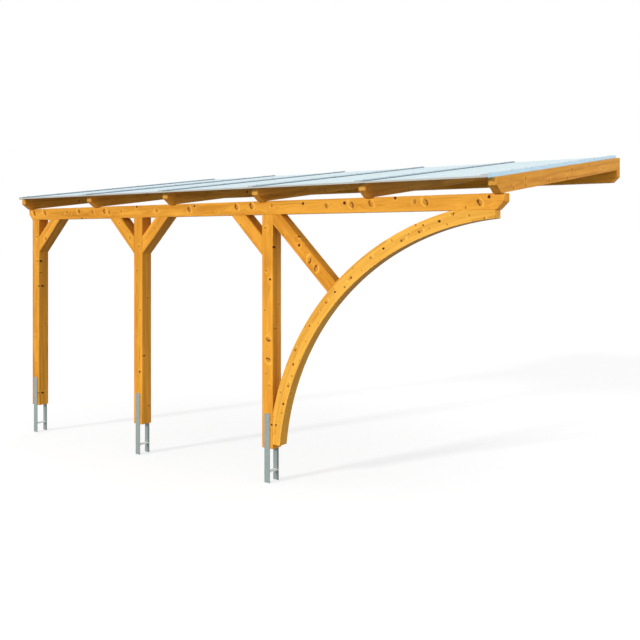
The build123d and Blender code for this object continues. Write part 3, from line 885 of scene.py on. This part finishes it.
def box_faces(o):
    return [(o, o + 1, o + 3, o + 2), (o + 4, o + 6, o + 7, o + 5), (o, o + 4, o + 5, o + 1), (o + 2, o + 3, o + 7, o + 6), (o, o + 2, o + 6, o + 4), (o + 1, o + 5, o + 7, o + 3)]


def roof_box(verts, faces, x0, x1, y0, n0, n1, y1=None):
    """Box on the slope from y0 up to y1, or to the wall with a plumb end, between heights n0 and n1."""
    o = len(verts)
    for n_ in (n0, n1):
        for rear in (False, True):
            for x in (x0, x1):
                y = y0 if not rear else n_ * SINP if y1 is None else y1
                verts.append(roof(x, y, n_))
    faces += box_faces(o)


for i in range(5):
    x0, x1 = RAFTER_X[i] + 0.006, RAFTER_X[i + 1] - 0.006
    if i == 0:
        x0 = RAFTER_X[0] + 0.009
    if i == 4:
        x1 = RAFTER_X[5] - 0.009
    verts, faces, uses = [], [], []
    roof_box(verts, faces, x0, x1, SHEET_FRONT, N0, N1)
    uses += [0] * 6
    cells = round((x1 - x0) / 0.0105)
    pitch = (x1 - x0) / cells
    for c in range(1, cells):
        x = x0 + c * pitch
        roof_box(verts, faces, x - 0.0003, x + 0.0003, SHEET_FRONT + 0.001, N0 + 0.0006, N1 - 0.0006, -0.004)
        uses += [1] * 6
    ob = outward(build(f"twin_wall_sheet_{i + 1}", verts, faces, (SHEET, RIB), uses=uses))
    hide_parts(f"roof_sheet_{i + 1}")
    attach(ob, "root")


def extrude_roof(verts, faces, section, y0):
    """Section of (x, n) points, run from y0 to the wall with a plumb rear cut."""
    o, c = len(verts), len(section)
    verts += [roof(x, y0, n_) for x, n_ in section]
    verts += [roof(x, n_ * SINP, n_) for x, n_ in section]
    faces += [(o + j, o + (j + 1) % c, o + c + (j + 1) % c, o + c + j) for j in range(c)]
    faces += [tuple(range(o + c - 1, o - 1, -1)), tuple(range(o + c, o + 2 * c))]
    return c + 2


def ring_solid(verts, faces, centre, axis, profile, sides, turn=0.0):
    """Solid of revolution from (radius, height) points, first and last on flat ends."""
    axis = Vector(axis).normalized()
    u = axis.orthogonal().normalized()
    v = axis.cross(u)
    o = len(verts)
    for r, h in profile:
        for s in range(sides):
            t = turn + 2 * math.pi * s / sides
            verts.append(Vector(centre) + axis * h + (u * math.cos(t) + v * math.sin(t)) * r)
    rows = len(profile)
    made = 0
    for j in range(rows - 1):
        for s in range(sides):
            a, b = o + j * sides + s, o + j * sides + (s + 1) % sides
            faces.append((a, b, b + sides, a + sides))
            made += 1
    faces.append(tuple(range(o + sides - 1, o - 1, -1)))
    faces.append(tuple(range(o + (rows - 1) * sides, o + rows * sides)))
    return made + 2


END_T = 0.0015  # plate over a bar's front end
for i, x in enumerate(BAR_X, 1):
    g0, g1 = N1, N1 + 0.0045
    t_ = N1 + BAR_H
    verts, faces, uses = [], [], []
    half = BAR_W / 2
    cap = [
        (-half, g1), (half, g1), (half, t_ - 0.0042), (half - 0.0010, t_ - 0.0030), (half - 0.0040, t_ - 0.0012),
        (0.0115, t_ - 0.0002), (0.0100, t_), (-0.0100, t_), (-0.0115, t_ - 0.0002),
        (-half + 0.0040, t_ - 0.0012), (-half + 0.0010, t_ - 0.0030), (-half, t_ - 0.0042),
    ]
    if i in (1, 6):
        s = -1 if i == 1 else 1
        # cap with the closing leg outside the sheet
        sect = [(x + s * a, b) for a, b in (
            (-half, g1), (half - 0.0030, g1), (half - 0.0030, 0.0), (half - 0.0004, 0.0), (half, 0.0006),
            (half, t_ - 0.0036), (half - 0.0010, t_ - 0.0014), (half - 0.0034, t_ - 0.0004), (half - 0.0060, t_),
            (-half + 0.0060, t_), (-half + 0.0016, t_ - 0.0012), (-half, t_ - 0.0036),
        )]
        extrude_roof(verts, faces, sect, SHEET_FRONT + END_T)
        uses += [3 if 2 <= j <= 6 else 0 for j in range(12)] + [0, 0]
        strips = [(x + s * (-half + 0.0005), x + s * (-half + 0.0095))]
    else:
        sect = [(x + a, b) for a, b in cap]
        uses += [0] * extrude_roof(verts, faces, sect, SHEET_FRONT + END_T)
        roof_box(verts, faces, x - 0.003, x + 0.003, TAIL + 0.002, N0, g1)
        uses += [0] * 6
        strips = [(x - half + 0.0005, x - half + 0.0095), (x + half - 0.0095, x + half - 0.0005)]
    for a, b in strips:
        roof_box(verts, faces, min(a, b), max(a, b), SHEET_FRONT + END_T, g0, g1)
        uses += [1] * 6
    # rubber bearing strip with grooves along it
    lo, hi = x - half, x + half
    if i == 1:
        lo += 0.0035
    if i == 6:
        hi -= 0.0035
    groove = [(lo, 0.0), (hi, 0.0), (hi, N0)]
    steps = 6
    for j in range(steps - 1, 0, -1):
        c = lo + (hi - lo) * j / steps
        groove += [(c + 0.0012, N0), (c + 0.0006, N0 - 0.0018), (c - 0.0006, N0 - 0.0018), (c - 0.0012, N0)]
    groove.append((lo, N0))
    uses += [1] * extrude_roof(verts, faces, groove, TAIL + 0.001)
    # plates over the bar's front end, between the trims
    roof_box(verts, faces, x - half + 0.0002, x + half - 0.0002, SHEET_FRONT - 0.0002, N1 - 0.0006, t_ - 0.0006, SHEET_FRONT + END_T)
    roof_box(verts, faces, x - half + 0.0002, x + half - 0.0002, SHEET_FRONT - 0.0012, 0.0046, N1 - 0.0005, SHEET_FRONT + END_T)
    uses += [2] * 12
    ob = outward(build(f"bar_{i}", verts, faces, (ALU, GASKET, TRIM, EDGE), uses=uses))
    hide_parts(f"glazing_bar_{i}")
    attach(ob, "root")
    # sealing screws along the bar
    verts, faces, uses = [], [], []
    axis = Vector((0, -SINP, COSP))
    for j in range(8):
        y = SHEET_FRONT + 0.10 + j * 0.405
        if y > -0.05:
            break
        c0 = roof(x, y, t_ - 0.0002)
        uses += [1] * ring_solid(verts, faces, c0, axis, [(0.0075, 0.0), (0.0075, 0.0010), (0.0068, 0.0014)], 20)
        uses += [0] * ring_solid(verts, faces, c0 + axis * 0.0014, axis, [(0.0062, 0.0), (0.0062, 0.0006), (0.0046, 0.0009)], 20)
        uses += [0] * ring_solid(verts, faces, c0 + axis * 0.0023, axis, [(0.0046, 0.0), (0.0046, 0.0020), (0.0040, 0.0026)], 6, 0.2 + j)
    ob = outward(build(f"bar_screws_{i}", verts, faces, (ALU, GASKET), uses=uses))
    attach(ob, "root")

for i in range(1, 6):
    dress(f"front_trim_{i}", TRIM, 0.0004, 1)

# ---- post anchors and their bolts -----------------------------------------------------------
for name in ("anchor_left", "anchor_middle", "anchor_right"):
    dress(name, GALV, 0.0007, 2)
for name, px in zip(("left", "middle", "right"), POST_X):
    verts, faces, uses = [], [], []
    for h in (0.055, 0.125, 0.195, 0.265):
        for side_y, y in ((-1, FRONT - 0.005), (1, FRONT + POST + 0.005)):
            out = Vector((0, side_y, 0))
            c0 = Vector((px + POST / 2 + (0.012 if round(h * 1000) in (125, 265) else -0.012), y, BASE_Z + h))
            uses += [0] * ring_solid(verts, faces, c0 - out * 0.0004, out, [(0.0058, 0.0), (0.0058, 0.0005), (0.0052, 0.0007)], 24)
            # a flat dark hexagon on each head: painted shade for its drive socket
            uses += [1] * ring_solid(verts, faces, c0 + out * 0.0001, out, [(0.0023, 0.0), (0.0023, 0.00025), (0.0021, 0.0003)], 6)
    ob = outward(build(f"anchor_screws_{name}", verts, faces, (GALV, PAINTED_SOCKET_SHADE), uses=uses))
    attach(ob, "root")

# ---- wall bolts through the purlin ------------------------------------------------------------
verts, faces = [], []
for x in (-2.184, -1.092, 0.0, 1.092, 2.184):
    c0, out = Vector((x, -PURLIN_T, 0.0)), Vector((0, -1, 0))
    ring_solid(verts, faces, c0, out, [(0.017, 0.0), (0.017, 0.0022), (0.0162, 0.0028)], 32)
    ring_solid(verts, faces, c0 + out * 0.0028, out, [(0.0104, 0.0), (0.0104, 0.0062), (0.0090, 0.0076)], 6, 0.4)
ob = outward(build("wall_bolts", verts, faces, (ZINC,)))
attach(ob, "root")

# ---- countersunk screws in the rafters' sides, over beam and purlin ---------------------------------
verts, faces, uses = [], [], []
for x in RAFTER_X:
    for s in (-1, 1):
        for y in (FRONT + 0.030, FRONT + 0.072, -0.030, -0.072):
            h = under(y) + 0.030
            c0 = Vector((x + s * (RAFTER_W / 2 + 0.00005), y, BASE_Z + h))
            made = ring_solid(verts, faces, c0 - Vector((s, 0, 0)) * 0.0004, (s, 0, 0), [(0.0046, 0.0), (0.0046, 0.0005), (0.0040, 0.0006)], 16)
            uses += [0] * made
            # a flat dark hexagon on each head: painted shade for its drive socket
            made = ring_solid(verts, faces, c0 + Vector((s, 0, 0)) * 0.0002, (s, 0, 0), [(0.0021, 0.0), (0.0021, 0.0001), (0.0019, 0.00014)], 6)
            uses += [1] * made
ob = outward(build("rafter_screws", verts, faces, (BRASSED, PAINTED_SOCKET_SHADE), uses=uses))
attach(ob, "root")

# ---- floor -------------------------------------------------------------------------------------------
m, net, bsdf = material("floor")
bsdf.inputs["Base Color"].default_value = (0.42, 0.42, 0.42, 1.0)
bsdf.inputs["Roughness"].default_value = 0.9
bsdf.inputs["Specular IOR Level"].default_value = 0.0
bsdf.inputs["Emission Color"].default_value = (1.0, 1.0, 1.0, 1.0)
bsdf.inputs["Emission Strength"].default_value = 0.62
size = 90.0
z = BASE_Z - 0.300
floor = build("floor", [(-size, -size, z), (size, -size, z), (size, size, z), (-size, size, z)], [(0, 1, 2, 3)], (m,))
floor.visible_diffuse = False

bpy.context.view_layer.update()
